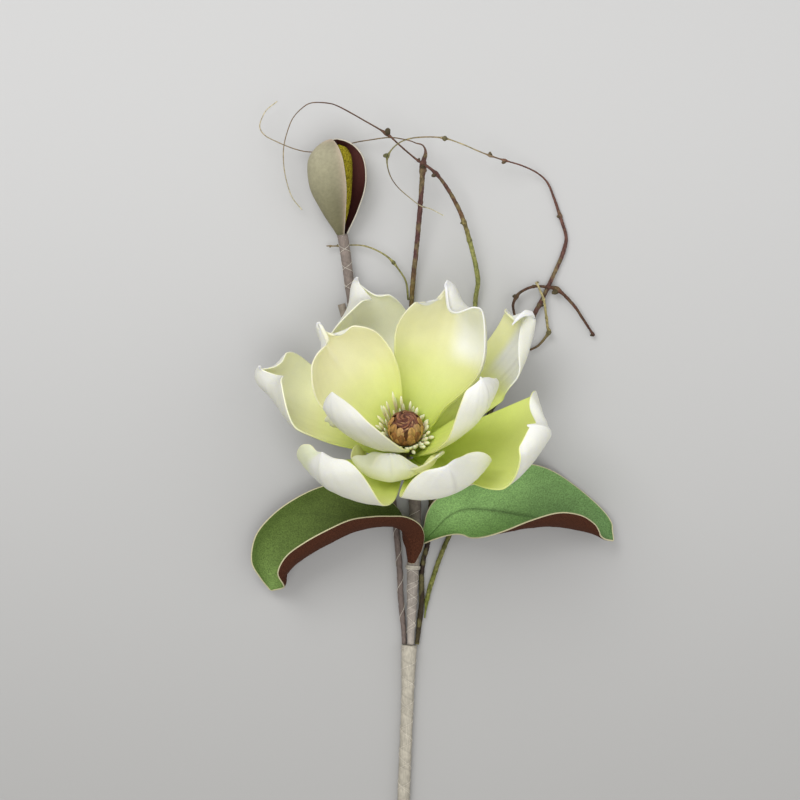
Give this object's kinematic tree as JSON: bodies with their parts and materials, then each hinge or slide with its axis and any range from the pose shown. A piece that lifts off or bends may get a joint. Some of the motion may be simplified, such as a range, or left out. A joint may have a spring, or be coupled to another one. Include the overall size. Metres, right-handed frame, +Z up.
{
  "type": "artificial magnolia branch",
  "caption": "Artificial magnolia branch lying flat: an open blossom, a half-open seed bud, felt-backed leaves and curling vine twigs on a tape-wrapped stem.",
  "frame": {"origin": "centre of the bounding box in plan, at the surface the branch lies on", "axes": "+Y along the stem from its cut end to the twig tips, +Z up out of the blossom's open side"},
  "size_m": [0.3073, 0.6831, 0.1736],
  "materials": {
    "petal_foam": "soft matte foam, white tips fading to lime at the foot",
    "leaf_green": "green cloth face with brown felt back",
    "tape_grey": "grey-brown florist tape",
    "vine_bark": "mottled bark",
    "husk_taupe": "suede-like, taupe outside",
    "core_mustard": "flocked",
    "cone_brown": "matte shavings",
    "stamen_cream": "matte"
  },
  "bodies": {
    "root": {"main_stem": "tape_grey", "wrapped_stem": "tape_grey", "bud_stem": "tape_grey", "stem_stub": "tape_grey", "leaf_tie": "tape_grey", "receptacle": "tape_grey", "vine_main": "vine_bark", "vine_arc": "vine_bark", "vine_loop": "vine_bark", "shoot_hook": "vine_bark", "shoot_short": "vine_bark", "tendril": "vine_bark", "husk_front": "husk_taupe", "husk_back": "husk_taupe", "bud_core": "core_mustard", "leaf_left": "leaf_green", "leaf_right": "leaf_green", "seed_cone": "cone_brown", "stamens": "stamen_cream", "inner_petal_1": "petal_foam", "inner_petal_2": "petal_foam", "inner_petal_3": "petal_foam", "inner_petal_4": "petal_foam", "outer_petal_1": "petal_foam", "outer_petal_2": "petal_foam", "outer_petal_3": "petal_foam", "outer_petal_4": "petal_foam", "outer_petal_5": "petal_foam", "outer_petal_6": "petal_foam", "outer_petal_7": "petal_foam"}
  },
  "joints": []
}
